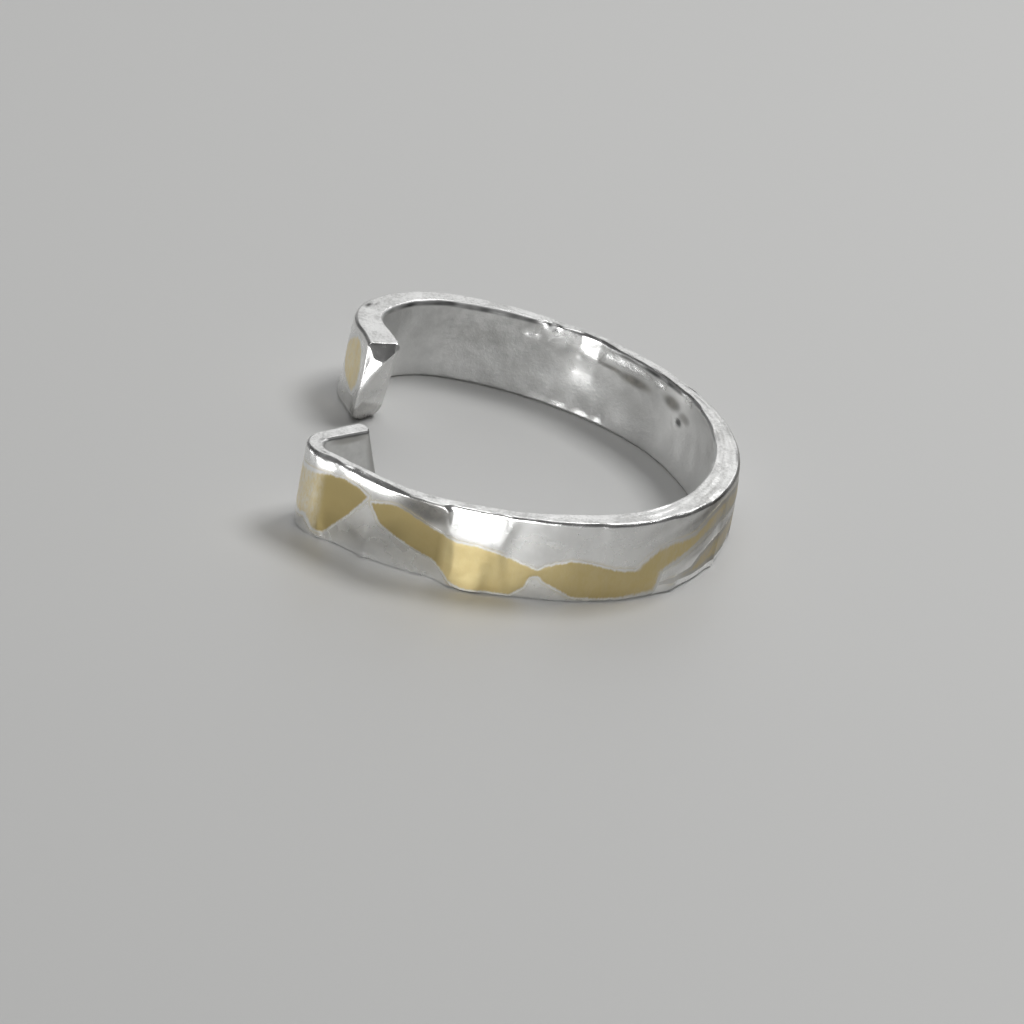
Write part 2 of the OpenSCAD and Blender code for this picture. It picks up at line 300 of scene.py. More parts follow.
# How strongly the darkening is streaked, and the waves of the rim's dark lines and of the painted shade
# under the rim
DARKENING_STREAKED, RIM_LINES, EDGE_SHADE_WAVES = 0.3, (0.35, 61, 1.5, 0.16), (0.3, 62, 0.5, 0.5)
# How far down from the rim a nick is black
NICK_DOWN = 0.4
# How much light is painted on the inner face, making it paler, along the band
INNER_PAINTED_LIGHT = [
    (2, 0.8), (4.5, 0.85), (6.5, 0.35), (8, 0.02), (10, 0), (12, 0.05), (14, 0.25), (17, 0.35),
    (19, 0.4), (20.5, 1), (48, 1), (50, 0.4), (54, 0.4),
]
# How much more light is painted on it near the foot
FOOT_PAINTED_LIGHT, FOOT_PAINTED_LIGHT_FROM = 0.25, (-2.5, 2)

# The silver's colours, in pairs between which it is uneven
SILVER_OUTSIDE = ((0.93, 0.93, 0.92, 1), (0.82, 0.82, 0.81, 1))
# The inner face goes from the darker pair to the pair with painted light
SILVER_INSIDE = ((0.53, 0.53, 0.52, 1), (0.33, 0.33, 0.325, 1))
SILVER_PAINTED_LIT = ((1, 1, 0.99, 1), (0.94, 0.94, 0.93, 1))
SILVER_RIM = ((0.5, 0.5, 0.49, 1), (0.75, 0.75, 0.74, 1))
# The darker silver, for painted shade and for the darkening along the band
SILVER_DARKENED = ((0.2, 0.195, 0.185, 1), (0.3, 0.287, 0.26, 1))
GOLD_BLUSH = (0.7, 0.62, 0.42, 1)
BLACK_IN_PITS_AND_SHADE = (0.05, 0.05, 0.05, 1)
# The gold's colours, and those of the silver that shows through it, clean and darkened
GOLD = ((0.94, 0.79, 0.42, 1), (0.88, 0.72, 0.36, 1))
GOLD_IN_SHADE = (0.5, 0.4, 0.185, 1)
SILVER_UNDER = ((0.86, 0.86, 0.85, 1), (0.31, 0.295, 0.265, 1))

# Lights that face the ring: azimuth, elevation, distance, width and height in metres, power, and
# whether the floor is lit. Azimuth 0 is behind the ring and 90 to its right. The low cards show
# only in the ring's polished faces.
LIGHTS = {
    "key": (48, 60, 0.3, 0.11, 0.11, 0.46, True),
    "fill": (205, 72, 0.3, 0.12, 0.12, 0.1, True),
    "card_right": (177, 12, 0.12, 0.054, 0.055, 0.08, False),
    "card_left": (229, 8, 0.12, 0.04, 0.044, 0.027, False),
    "card_far_left": (264, 8, 0.12, 0.03, 0.03, 0.01, False),
}
FLOOR_HALF = 1.5
# The broad soft light behind the ring: its elevation, and how its light grows the more nearly a
# direction points at it. The horizon's light changes with height in the same way.
WINDOW_ELEVATION = 30
WINDOW_LIGHT = (0.78, 0.95, 0, 0.85)
HORIZON_LIGHT = (0, 0.5, 0.22, 0.07)
# The photograph's camera: how far above the floor it looks down, its turn about its axis, the
# point it looks at, its distance in metres and the width that it sees there
CAMERA_ELEVATION, CAMERA_ROLL = 29, 11.5
CAMERA_TARGET = (-0.195, -2.05, -0.1)
CAMERA_DISTANCE, FRAME_WIDTH, SENSOR_WIDTH = 0.25, 45.65, 36


def step_along(x, y, heading, radius, turn):
    """Place and heading after an arc of that radius turns right by that angle."""
    to = heading - turn
    return x + radius * (np.sin(heading) - np.sin(to)), y - radius * (np.cos(heading) - np.cos(to)), to


def stretch_starts():
    at = (0.0, 0.0, math.radians(FIRST_HEADING))
    starts = []
    for radius, turn in zip(RADII, TURNS):
        starts.append(at)
        at = step_along(*at, radius, turn)
    return np.array(starts)


STARTS = stretch_starts()


def eased(t):
    t = np.clip(t, 0, 1)
    return t * t * (3 - 2 * t)


def past(value, start, run):
    """0 up to a start, growing to 1 over a run."""
    return eased((value - start) / run)


def between(along, first, last, run):
    """1 on a stretch of the band, fading in after its start and out before its end."""
    return past(along, first, run) * past(-along, -last, run)


def looked_up(along, table):
    return np.interp(along, *np.array(table).T)


def slope(angle):
    return math.tan(math.radians(angle))


def stretch_of(along):
    i = np.clip(np.searchsorted(REACH, along, side="right") - 1, 0, len(STRETCHES) - 1)
    return i, (along - REACH[i]) / STRETCHES[i, LENGTH]


def along_value(along, column, first):
    i, t = stretch_of(along)
    before = np.where(i == 0, first, STRETCHES[np.maximum(i - 1, 0), column])
    return before + (STRETCHES[i, column] - before) * eased(t)


def thickness(along):
    return along_value(along, THICKNESS, FIRST_THICKNESS)


def place(along, outwards, height):
    """Points in millimetres: along the band, outwards from its middle line, and up."""
    i, t = stretch_of(along)
    x, y, heading = step_along(STARTS[i, 0], STARTS[i, 1], STARTS[i, 2], RADII[i], TURNS[i] * t)
    lean = np.tan(np.radians(along_value(along, LEAN, FIRST_LEAN)))
    away = outwards + lean * (HEIGHT - height)
    return np.stack([x - away * np.sin(heading), y + away * np.cos(heading), height], -1) - MIDDLE


def near_end(distance, run=END_RUN):
    return np.clip(1 - distance / run, 0, None) ** 2


def drawn_in(along):
    """How far the edges are drawn in by the rounding of the nearer end."""
    radius = np.where(along < BAND_LENGTH / 2, REAR_END_ROUND, FRONT_END_ROUND)
    left = np.clip(radius - np.minimum(along, BAND_LENGTH - along), 0, None)
    return radius - np.sqrt(radius ** 2 - left ** 2)


def reach_at(height, slant, corner):
    """How far a slanted end with a rounded foot reaches at a height."""
    short = corner - np.clip(height, 0, corner)
    return slant * (1 - height / HEIGHT) - corner + np.sqrt(corner ** 2 - short ** 2)


def softest(values, width):
    """The lowest of the values, with the creases between them rounded."""
    low = values[0]
    for value in values[1:]:
        share = np.clip(0.5 + 0.5 * (value - low) / width, 0, 1)
        low = value + (low - value) * share - width * share * (1 - share)
    return low


def rear_flats(across, height):
    """How far forward each flat of the rear end lies."""
    down = np.minimum(HEIGHT - height, REAR_DOWN)
    return [-(back + further * down + outer * across) for back, further, outer in REAR_FLATS.values()]


def rear_face(across, height):
    """How far the rear end's face is drawn back."""
    below = HEIGHT - height
    crease = REAR_CREASE + REAR_SOFTER * past(below, *REAR_SOFTER_FROM)
    at, down, radius, raised = REAR_SPOT
    spot = raised * np.exp(-((across - at) ** 2 * REAR_HALF ** 2 + (below - down) ** 2) / radius ** 2)
    tuck = REAR_TUCK * np.clip(below - REAR_TUCK_FROM, 0, None) ** 2
    return tuck - softest(rear_flats(across, height), crease) - spot


def end_shift(along, across, height):
    """How far along the band the shapes of the ends move a point."""
    front = near_end(BAND_LENGTH - along) * reach_at(height, FRONT_SLANT, FRONT_CORNER)
    rear = rear_face(across, height) * near_end(np.maximum(along, 0), CROWN_RUN)
    crown = FRONT_CROWN * across ** 2 * near_end(np.maximum(BAND_LENGTH - along, 0), CROWN_RUN)
    return front + rear - crown


def waves(seed, along, up, length, height):
    """Smooth seeded unevenness from about -1 to 1, in bumps of that length and height."""
    rng = np.random.default_rng(seed)
    total = 0
    for _ in range(WAVE_COUNT):
        angle = rng.uniform(0, math.tau)
        speed = rng.uniform(*WAVE_SPEEDS) * math.pi
        phase = rng.uniform(0, math.tau)
        total = total + np.sin(
            speed * (np.cos(angle) * along / length + np.sin(angle) * up / height) + phase)
    return total / WAVE_SHARE


def fine(kind, along, up):
    """Fine unevenness of one of the kinds in the tables."""
    size, seed, length, height = kind
    return size * waves(seed, along, up, length, height)


def off_centre(at, up, half_length, half_height, along, height, power=3):
    """0 in the middle of a rounded patch, 1 on its outline and more outside."""
    across, over = np.abs(along - at) / half_length, np.abs(height - up) / half_height
    return (across ** power + over ** power) ** (1 / power)


def cuts(facets, along, height):
    """Depths of flat cuts, with borders that rise towards the face round them."""
    made = []
    for at, up, depth, tilt, turn, half_length, half_height, before, after in facets:
        plane = -depth - slope(tilt) * (height - up) - slope(turn) * (along - at)
        off = off_centre(at, up, half_length, half_height, along, height)
        outside = np.hypot(along - at, height - up) * (1 - 1 / np.maximum(off, 1))
        gentler = 1 - RIM_EASE * past(height, *RIM_EASE_FROM)
        made.append(plane + np.where(along < at, before, after * gentler) * outside ** 2)
    return made


def dents(table, along, height):
    """Depth of the dents, each with a slope that faces up and then one that faces down."""
    total = 0
    for at, half_length, start, deepest, back, depth, _ in table:
        side = np.exp(-((along - at) / half_length) ** 4)
        rise = past(height, start, deepest - start) * (1 - past(height, deepest, back - deepest))
        total = total + depth * side * rise
    return total


def hammer_marks(table, along, height):
    """Seeded shallow hammer marks."""
    made = []
    for seed, first, last, count, depth, steepest in table:
        rng = np.random.default_rng(seed)
        for i in range(count):
            at = first + (last - first) * (i + rng.uniform(0.1, 0.9)) / count
            up = rng.uniform(*MARK_HEIGHTS)
            tilt, turn = np.tan(np.radians(rng.uniform(-steepest, steepest, 2)))
            beside, over = along - at, height - up
            hollow = beside ** 2 / MARK_LONG + over ** 2 / MARK_TALL
            made.append(-depth * rng.uniform(0.5, 1) + hollow + tilt * over + turn * beside)
    return made


def from_ends(along):
    """1 along the band, and 0 at its two ends, where the faces are left flat."""
    return eased(np.minimum(along, BAND_LENGTH - along) / RELIEF_FADE)


def outer_relief(along, height):
    """How far the hammered outer face stands out."""
    crowned = past(along, *OUTER_CROWN_FROM) * (1 - past(along, *LESS_CROWN_FROM))
    crown = -OUTER_CROWN * ((height - HALF_UP) / HALF_UP) ** 2 * crowned
    level = softest(
        [np.zeros_like(along)] + cuts(OUTER_FACETS, along, height)
        + hammer_marks(OUTER_MARKS, along, height), OUTER_CREASE)
    at, strength, start = SHOULDER.T
    over = np.clip(height - np.interp(along, at, start), 0, None)
    shoulder = np.interp(along, at, strength) * over ** 2
    swelling = dents(OUTER_SWELLING, along, height)
    return (crown + level - shoulder - swelling + fine(OUTER_FINE, along, height)) * from_ends(along)


def inner_relief(along, height):
    """How far the hammered inner face stands out into the hollow."""
    level = softest([np.zeros_like(along)] + hammer_marks(INNER_MARKS, along, height), INNER_CREASE)
    off = off_centre(*PIT, along, height, 2) ** 2
    pit = -PIT_DEPTH * np.exp(-off ** 2) + PIT_BURR * np.exp(-(off - PIT_BURR_AT) ** 2)
    rough = between(along, *ROUGH) * past(height, *ROUGH_FROM)
    chatter = rough * fine(INNER_CHATTER, along, height)
    lean = INNER_LEAN * (height - HALF_UP) * between(along, *LEANING)
    grain = fine(INNER_FINE, along, height) + fine(INNER_GRAIN, along, height)
    return (level - dents(INNER_DENTS, along, height) - lean + pit + chatter + grain) * from_ends(along)


def rim_relief(along, across):
    """Waver of the rim."""
    waver = fine(RIM_SLOW, along, across) + fine(RIM_QUICK, along, across)
    grooves = fine(RIM_GROOVES, along, across) * between(along, *GROOVED)
    nicks = 0
    for at, side, half_length, half_width, depth, _ in RIM_NICKS:
        off = off_centre(at, side, half_length, half_width, along, across, 2)
        nicks = nicks - depth * np.exp(-off ** 2)
    return waver + grooves + nicks - RIM_SINK


def edge_cut(out, up, half, along, side, angle, depth, rough, seed):
    """Cuts an edge of the rim flat and gives the points' new places out and up."""
    angle = math.radians(angle)
    depth = depth + rough * waves(seed, along, 0 * along, BEVEL_WAVE, BEVEL_WAVE)
    over = (side * out - half) * math.cos(angle) + (up - HEIGHT) * math.sin(angle) + depth
    over = (over + np.sqrt(over ** 2 + BEVEL_SOFT ** 2)) / 2 - BEVEL_SOFT / 2
    over = np.clip(over, 0, None)
    return out - side * over * math.cos(angle), up - over * math.sin(angle)


def profile(half, low, high, foot_round):
    """Section points out and up from the middle line, a row for each place along."""
    def arc(centre_out, centre_up, radius, first):
        angles = np.radians(first + 90 * (np.arange(CORNER_COUNT) + 0.5) / CORNER_COUNT)
        return centre_out + radius * np.cos(angles), centre_up + radius * np.sin(angles)

    def line(from_out, from_up, to_out, to_up, count, power=1.0):
        t = 1 - (1 - np.arange(count) / (count - 1)) ** power
        return from_out + (to_out - from_out) * t, from_up + (to_up - from_up) * t

    top = EDGE_ROUND
    inner_face = line(-half, low + foot_round, -half, high - top, INNER_COUNT, FACE_POWER)
    parts = [
        line(foot_round - half, low, half - foot_round, low, FOOT_COUNT),
        arc(half - foot_round, low + foot_round, foot_round, 270),
        line(half, low + foot_round, half, high - top, OUTER_COUNT, FACE_POWER),
        arc(half - top, high - top, top, 0),
        line(half - top, high, top - half, high, RIM_COUNT),
        arc(top - half, high - top, top, 90),
        [side[:, ::-1] for side in inner_face],
        arc(foot_round - half, low + foot_round, foot_round, 180),
    ]
    return [np.concatenate(side, 1) for side in zip(*parts)]


def shaped(along, out, up, half):
    """Section points with the hammering, the waver of the rim and the cut edges."""
    share = np.clip((out + half) / (2 * half), 0, 1)
    s = along + 0 * out
    out = out + outer_relief(s, up) * share - inner_relief(s, up) * (1 - share)
    up = up + rim_relief(s, 2 * share - 1) * eased((up - HEIGHT + RIM_DEPTH) / RIM_DEPTH)
    outer_half = half + outer_relief(along, BEVEL_FOOT + 0 * along)
    for side, edge, bevel, (angle, rough, seed) in (
            (1, outer_half, OUTER_BEVEL, OUTER_BEVEL_CUT), (-1, half, INNER_BEVEL, INNER_BEVEL_CUT)):
        out, up = edge_cut(out, up, edge, s, side, angle, looked_up(along, bevel), rough, seed)
    return s, out, up


def band_sections():
    """The band's plain sections: distances along, half thicknesses, and points out and up."""
    last = END_SECTIONS[-1]
    run = np.arange(last + REAR_GAP, BAND_LENGTH - last - FRONT_GAP, SECTION_STEP)
    along = np.concatenate([END_SECTIONS, run, BAND_LENGTH - END_SECTIONS[::-1]])[:, None]
    inset = drawn_in(along)
    half = thickness(along) / 2 - inset
    foot_round = EDGE_ROUND + (REAR_FOOT_ROUND - EDGE_ROUND) * near_end(along)
    out, up = profile(half, inset, HEIGHT - inset * RIM_END_ROUND, foot_round)
    return along, half, out, up


def linked(name, data):
    thing = bpy.data.objects.new(name, data)
    bpy.context.scene.collection.objects.link(thing)
    return thing


def mesh_object(name, points, faces):
    """A smooth object from points in millimetres."""
    mesh = bpy.data.meshes.new(name)
    mesh.from_pydata((np.asarray(points) * MM).tolist(), [], faces)
    mesh.validate()
    mesh.update()
    mesh.polygons.foreach_set("use_smooth", [True] * len(mesh.polygons))
    return linked(name, mesh)


def give_colours(thing, name, columns):
    """Gives a mesh's points four values that its material reads."""
    attribute = thing.data.attributes.new(name, "FLOAT_COLOR", "POINT")
    attribute.data.foreach_set("color", np.stack(columns, -1).astype(np.float32).ravel())


def closing(first, heights, reverse):
    """Triangles across the slit that a cap's innermost ring leaves, from its foot up to its rim."""
    right, left = FOOT_COUNT // 2, FOOT_COUNT // 2 - 1 + len(heights)
    made = []
    while left - right > 1:
        up_right, up_left = heights[(right + 1) % len(heights)], heights[(left - 1) % len(heights)]
        if up_right <= up_left:
            corners = (right, right + 1, left)
            right += 1
        else:
            corners = (right, left - 1, left)
            left -= 1
        made.append([first + corner % len(heights) for corner in (corners[::-1] if reverse else corners)])
    return made


def make_band():
    """The band, with the distance along, place across and height of each of its points."""
    along, half, out, up = band_sections()
    s, out, up = shaped(along, out, up, half)
    rows, count = out.shape
    points = [place(s + end_shift(s, out / half, up), out, up).reshape(-1, 3)]
    places = [(s, out / half, up)]
    around = np.arange(count)
    after = (around + 1) % count
    faces = []
    for a in range(0, (rows - 1) * count, count):
        b = a + count
        faces += np.stack([a + around, a + after, b + after, b + around], 1).tolist()
    # The ends: rings that shrink towards the section's upright middle line
    here = rows * count
    for row, outer in ((0, 0), (-1, (rows - 1) * count)):
        ring_s, ring_out, ring_up, edge = s[row], out[row], up[row], half[row, 0]
        middle_up = np.clip(ring_up, ring_up.min() + edge, ring_up.max() - edge)
        for k in range(1, CAP_RINGS + 1):
            t = CAP_REACH * k / CAP_RINGS
            cap_out = ring_out * (1 - t)
            cap_up = ring_up + (middle_up - ring_up) * t
            points.append(place(ring_s + end_shift(ring_s, cap_out / edge, cap_up), cap_out, cap_up))
            places.append((ring_s, cap_out / edge, cap_up))
            loop = np.stack([outer + around, here + around, here + after, outer + after], 1)
            faces += (loop[:, ::-1] if row else loop).tolist()
            outer, here = here, here + count
        faces += closing(outer, cap_up, row == 0)
    band = mesh_object("ring_band", np.concatenate(points), faces)
    return band, [np.concatenate([np.ravel(column) for column in columns]) for columns in zip(*places)]


def streaks(along, height):
    """Streaks that run along the wall and slightly down it."""
    return fine(STREAKS, along, height + STREAK_FALL * along)


def foil_edges(along, lower, upper, seed):
    """Heights of a gold piece's ragged lower and upper edge."""
    low, high = looked_up(along, lower), looked_up(along, upper)
    (slow, long), (quick, short) = RAGGED
    ragged = [
        fine((slow, seed + i, long, long), along, 0 * along)
        + fine((quick, seed + i, short, short), 0 * along, along)
        for i in (0, 1)]
    shrink = np.clip((high - low) / RAGGED_FULL, 0, 1)
    return low + ragged[0] * shrink, high + ragged[1] * shrink


def on_wall(along, height, lift):
    """Points at a height above the hammered outer face."""
    half = thickness(along) / 2 - drawn_in(along)
    out = half + outer_relief(along, height) + lift
    return place(along + end_shift(along, out / half, height), out, height)


def in_from_outline(along, low, high, height):
    """How far in from a gold piece's outline its points lie, a row for each place along."""
    fine = np.linspace(along[0], along[-1], OUTLINE_STEPS * len(along))
    share = np.linspace(0, 1, OUTLINE_STEPS)
    outline = [(fine, np.interp(fine, along, low)), (fine, np.interp(fine, along, high))]
    outline += [(along[i] + 0 * share, low[i] + (high[i] - low[i]) * share) for i in (0, -1)]
    edge_along, edge_height = np.concatenate(outline, 1)
    columns = [
        np.hypot(along[:, None] - edge_along, column[:, None] - edge_height).min(1) for column in height.T]
    return np.stack(columns, 1)


# The strongest of the patches of painted shade at each point
def patch_darkness(dark_patches, along, height):
    total = np.zeros_like(along)
    for at, up, half_length, half_height, amount in dark_patches:
        off = off_centre(at, up, half_length, half_height, along, height, 2)
        total = np.maximum(total, amount * np.exp(-off ** 4))
    return total


def make_foil(name, lower, upper, seed):
    """A piece of gold that lies on the outer face.

    zones: red where the gold is rubbed thin, green where painted shade darkens it, blue where its edge
    fades and alpha where the silver beside it is darkened, partly with painted shade.
    """
    first, last = lower[0][0], lower[-1][0]
    count = int((last - first) / FOIL_STEP)
    along = np.linspace(first, last, count)
    low, high = foil_edges(along, lower, upper, seed)
    t = np.linspace(0, 1, FOIL_ROWS)
    t = t - FOIL_CROWDING * np.sin(math.tau * t)
    height = low[:, None] + (high - low)[:, None] * t
    s = np.broadcast_to(along[:, None], height.shape)
    in_from_edge = in_from_outline(along, low, high, height)
    lift = FOIL_LIFT + FOIL_THICKNESS * eased(in_from_edge / FOIL_EDGE)
    top = on_wall(s, height, lift)
    under = on_wall(s, height, 0 * lift)
    grid = np.arange(count * FOIL_ROWS).reshape(count, FOIL_ROWS)
    a, b, c, d = grid[:-1, :-1], grid[1:, :-1], grid[1:, 1:], grid[:-1, 1:]
    faces = np.stack([a, d, c, b], -1).reshape(-1, 4)
    back = faces[:, ::-1] + grid.size
    rim = np.concatenate([grid[0, :-1], grid[:-1, -1], grid[-1, :0:-1], grid[:0:-1, 0]])
    following = np.roll(rim, -1)
    sides = np.stack([rim, rim + grid.size, following + grid.size, following], -1)
    foil = mesh_object(
        "ring_" + name, np.concatenate([top.reshape(-1, 3), under.reshape(-1, 3)]),
        np.concatenate([faces, back, sides]).tolist())
    foil.data.set_sharp_from_angle(angle=math.radians(FOIL_SHARP))
    rubbed = looked_up(s, RUBBED)
    rubbed = rubbed * (1 + STREAKED * streaks(s, height) * (s > STREAKED_FROM) * (s < STREAKED_TO))
    fade = (1 - eased(in_from_edge / looked_up(s, FADE))) * (1 - FADE_SHARE + FADE_SHARE * rubbed)
    # The silver under the gold, darkened along the band and by the patches of painted shade
    darkening_and_shade = np.maximum(looked_up(s, OUTER_DARKENING), patch_darkness(OUTER_SHADE_PATCHES, s, height + SHADE_LIFT))
    columns = (rubbed, looked_up(s, DARK_GOLD), fade, darkening_and_shade)
    give_colours(foil, "zones", [np.tile(np.ravel(column), 2) for column in columns])
    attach(foil, "root")
    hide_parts(name)
    return foil


def gold_near(along, across, height):
    """How near the gold is, from 0 to 1, for the blush round its edge."""
    near = np.zeros_like(along)
    for lower, upper, seed in FOILS.values():
        low, high = foil_edges(along, lower, upper, seed)
        away = np.maximum(low - height, height - high)
        away = np.maximum(away, np.maximum(lower[0][0] - along, along - lower[-1][0]))
        near = np.maximum(near, np.exp(-(np.clip(away, 0, None) / BLUSH_WIDTH) ** 2))
    return near * past(across, *BLUSH_FROM)


def rear_end_shade(along, across, height):
    """Painted shade on the rear end's face, on its flats and at its rounded foot."""
    below = HEIGHT - height
    top, front, inner, corner = rear_flats(across, height)
    shades = {
        "top": eased((np.minimum(np.minimum(front, inner), corner) - top) / REAR_SOFT["top"]),
        "inner": eased((front - inner) / REAR_SOFT["inner"]) * eased((top - inner) / REAR_SOFT["top"]),
        "corner": eased((front - corner) / REAR_SOFT["corner"]) * (below < CORNER_DOWN),
    }
    face = np.maximum.reduce([REAR_DARK[flat] * shade for flat, shade in shades.items()])
    edge = FOOT_DOWN - FOOT_RISE * across + FOOT_DROP * past(across, *FOOT_DROP_FROM)
    foot = REAR_DARK["foot"] * past(below, edge, REAR_SOFT["foot"])
    return np.maximum(face * (along < FLATS_ALONG), foot * past(-along, *FOOT_ALONG_FROM))


def on_face(across):
    """1 on the outer face, or on the inner face when it is given -across."""
    return past(across, *FACE_FROM)


def darkness_and_shade(along, across, height, rim):
    """How dark the silver is painted: darkened along the band, and with painted shade and dark
    reflections.
    """
    dark_and_shade = looked_up(along, OUTER_DARKENING) * (1 + DARKENING_STREAKED * streaks(along, height))
    less_darkening = past(along, *LESS_DARKENING_FROM) * past(-height, *LESS_DARKENING_BELOW_FROM)
    dark_and_shade = dark_and_shade * (1 - LESS_DARKENING * less_darkening)
    dark_and_shade = np.maximum(dark_and_shade, patch_darkness(OUTER_SHADE_PATCHES, along, height)) * on_face(across) * (1 - rim)
    dark_and_shade = np.maximum(dark_and_shade, patch_darkness(INNER_SHADE_AND_MOTTLING, along, height) * on_face(-across))
    # Painted shade on the rear end
    dark_and_shade = np.maximum(dark_and_shade, rear_end_shade(along, across, height) * (1 - rim))
    lines = np.clip(fine(RIM_LINES, along, across), 0, RIM_LINES[0]) * between(along, *LINED)
    return np.maximum(dark_and_shade, lines * rim)


def polish(along, across, height):
    """How polished the inner face is in its dents."""
    polished = np.zeros_like(along)
    for at, half_length, start, deepest, _, _, amount in INNER_DENTS:
        off = off_centre(at, (start + deepest) / 2, half_length, (deepest - start) / 2, along, height)
        polished = np.maximum(polished, amount * past(-off, *POLISH_FROM))
    return polished * on_face(-across)


def blackness(along, across, height, facing_up):
    """How black the pit and the nicks are, and the painted shade under the rim and on the front end's
    inner edge.
    """
    black = np.exp(-off_centre(*PIT, along, height, 2) ** 4) * on_face(-across)
    for at, side, half_length, half_width, _, amount in RIM_NICKS:
        off = off_centre(at, side, half_length, half_width, along, across, 2)
        black = np.maximum(black, amount * np.exp(-off ** 2) * (height > HEIGHT - NICK_DOWN))
    # Painted shade in the crease under the rim's inner edge
    edge_shade = looked_up(along, EDGE_SHADE) * np.exp(-((height - EDGE_SHADE_UP) / EDGE_SHADE_HALF) ** 4)
    black = np.maximum(black, edge_shade * on_face(-across) * (1 + fine(EDGE_SHADE_WAVES, along, height)))
    # Painted shade along the front end's inner edge
    edge = FRONT_EDGE_BLACK * (1 - past(facing_up, *FLAT_FROM))
    for value, start in zip((along, -across, height, facing_up), FRONT_EDGE_FROM):
        edge = edge * past(value, *start)
    return np.maximum(black, edge)


def give_zones(band, along, across, height):
    """Marks the band's points by the kinds of surface that the silver's material tells apart.

    zones: red on the rim, green inside, blue near the gold, alpha where it is darkened, partly with
    painted shade.
    marks: red where the inner face is polished, green where it is black, blue where light is painted on
    it.
    """
    normals = np.zeros(len(band.data.vertices) * 3, np.float32)
    band.data.vertices.foreach_get("normal", normals)
    facing_up = normals.reshape(-1, 3)[:, 2]
    rim = past(facing_up, *RIM_FROM) * (height > HEIGHT - RIM_DEPTH)
    inner = past(-across, *SATIN_FROM) * (1 - rim)
    blush = gold_near(along, across, height) * (1 - rim) * (along > REAR_LOWER[-1][0] + 1)
    give_colours(band, "zones", (rim, inner, blush, darkness_and_shade(along, across, height, rim)))
    # Painted light on the inner face
    painted_lit = looked_up(along, INNER_PAINTED_LIGHT) + FOOT_PAINTED_LIGHT * past(-height, *FOOT_PAINTED_LIGHT_FROM)
    polished, black = polish(along, across, height), blackness(along, across, height, facing_up)
    give_colours(band, "marks", (polished, black, painted_lit, np.ones_like(along)))


def new_node(tree, kind, values):
    """A new node of a kind, with those values on its inputs."""
    node = tree.nodes.new("ShaderNode" + kind)
    for name, value in values.items():
        node.inputs[name].default_value = value
    return node


def smooth_ramp(tree, value, low, high, out_low, out_high):
    """Brings a value from one range to another, with soft ends."""
    limits = {"From Min": low, "From Max": high, "To Min": out_low, "To Max": out_high}
    node = new_node(tree, "MapRange", limits)
    node.interpolation_type = "SMOOTHSTEP"
    tree.links.new(value, node.inputs["Value"])
    return node.outputs["Result"]


class Material:
    """A Principled material and short ways to add and join its nodes."""

    def __init__(self, name, colour, roughness, metallic=1.0):
        self.material = bpy.data.materials.new(name)
        self.material.use_nodes = True
        self.tree = self.material.node_tree
        self.shader = self.tree.nodes["Principled BSDF"]
        self.shader.inputs["Base Color"].default_value = (*colour, 1)
        self.shader.inputs["Roughness"].default_value = roughness
        self.shader.inputs["Metallic"].default_value = metallic
        self.place = self.tree.nodes.new("ShaderNodeTexCoord").outputs["Object"]

    def join(self, value, socket):
        """Gives a socket a number, a colour or another node's output."""
        if hasattr(value, "node"):
            self.tree.links.new(value, socket)
        else:
            socket.default_value = value

    def noise(self, size, detail=2.0, roughness=0.5, stretch=None):
        """Noise with spots of about that size in millimetres."""
        values = {"Scale": 1 / (size * MM), "Detail": detail, "Roughness": roughness}
        node = new_node(self.tree, "TexNoise", values)
        source = self.place
        if stretch:
            mapping = new_node(self.tree, "Mapping", {"Scale": stretch})
            self.tree.links.new(self.place, mapping.inputs["Vector"])
            source = mapping.outputs["Vector"]
        self.tree.links.new(source, node.inputs["Vector"])
        return node.outputs["Fac"]

    def ramp(self, value, low, high, out_low=0.0, out_high=1.0):
        return smooth_ramp(self.tree, value, low, high, out_low, out_high)

    def math(self, operation, a, b):
        node = self.tree.nodes.new("ShaderNodeMath")
        node.operation = operation
        self.join(a, node.inputs[0])
        self.join(b, node.inputs[1])
        return node.outputs[0]

    def plus(self, a, b):
        return self.math("ADD", a, b)

    def times(self, a, b):
        return self.math("MULTIPLY", a, b)

    def shares(self, a, b, share):
        """That share of a and the rest of b."""
        return self.plus(self.times(a, share), self.times(b, 1 - share))

    def mix(self, factor, a, b):
        """Mixes two colours."""
        node = self.tree.nodes.new("ShaderNodeMix")
        node.data_type = "RGBA"
        colours = [socket for socket in node.inputs if socket.type == "RGBA"]
        self.join(factor, node.inputs[0])
        self.join(a, colours[0])
        self.join(b, colours[1])
        return [socket for socket in node.outputs if socket.type == "RGBA"][0]

    def read(self, name):
        """The four values that give_colours stored under a name."""
        attribute = self.tree.nodes.new("ShaderNodeAttribute")
        attribute.attribute_name = name
        split = self.tree.nodes.new("ShaderNodeSeparateColor")
        self.tree.links.new(attribute.outputs["Color"], split.inputs["Color"])
        return [split.outputs[i] for i in range(3)] + [attribute.outputs["Alpha"]]

    def bump(self, height, distance):
        """Bumps of that distance in millimetres."""
        node = new_node(self.tree, "Bump", {"Strength": 1, "Distance": distance * MM})
        self.tree.links.new(height, node.inputs["Height"])
        self.tree.links.new(node.outputs["Normal"], self.shader.inputs["Normal"])


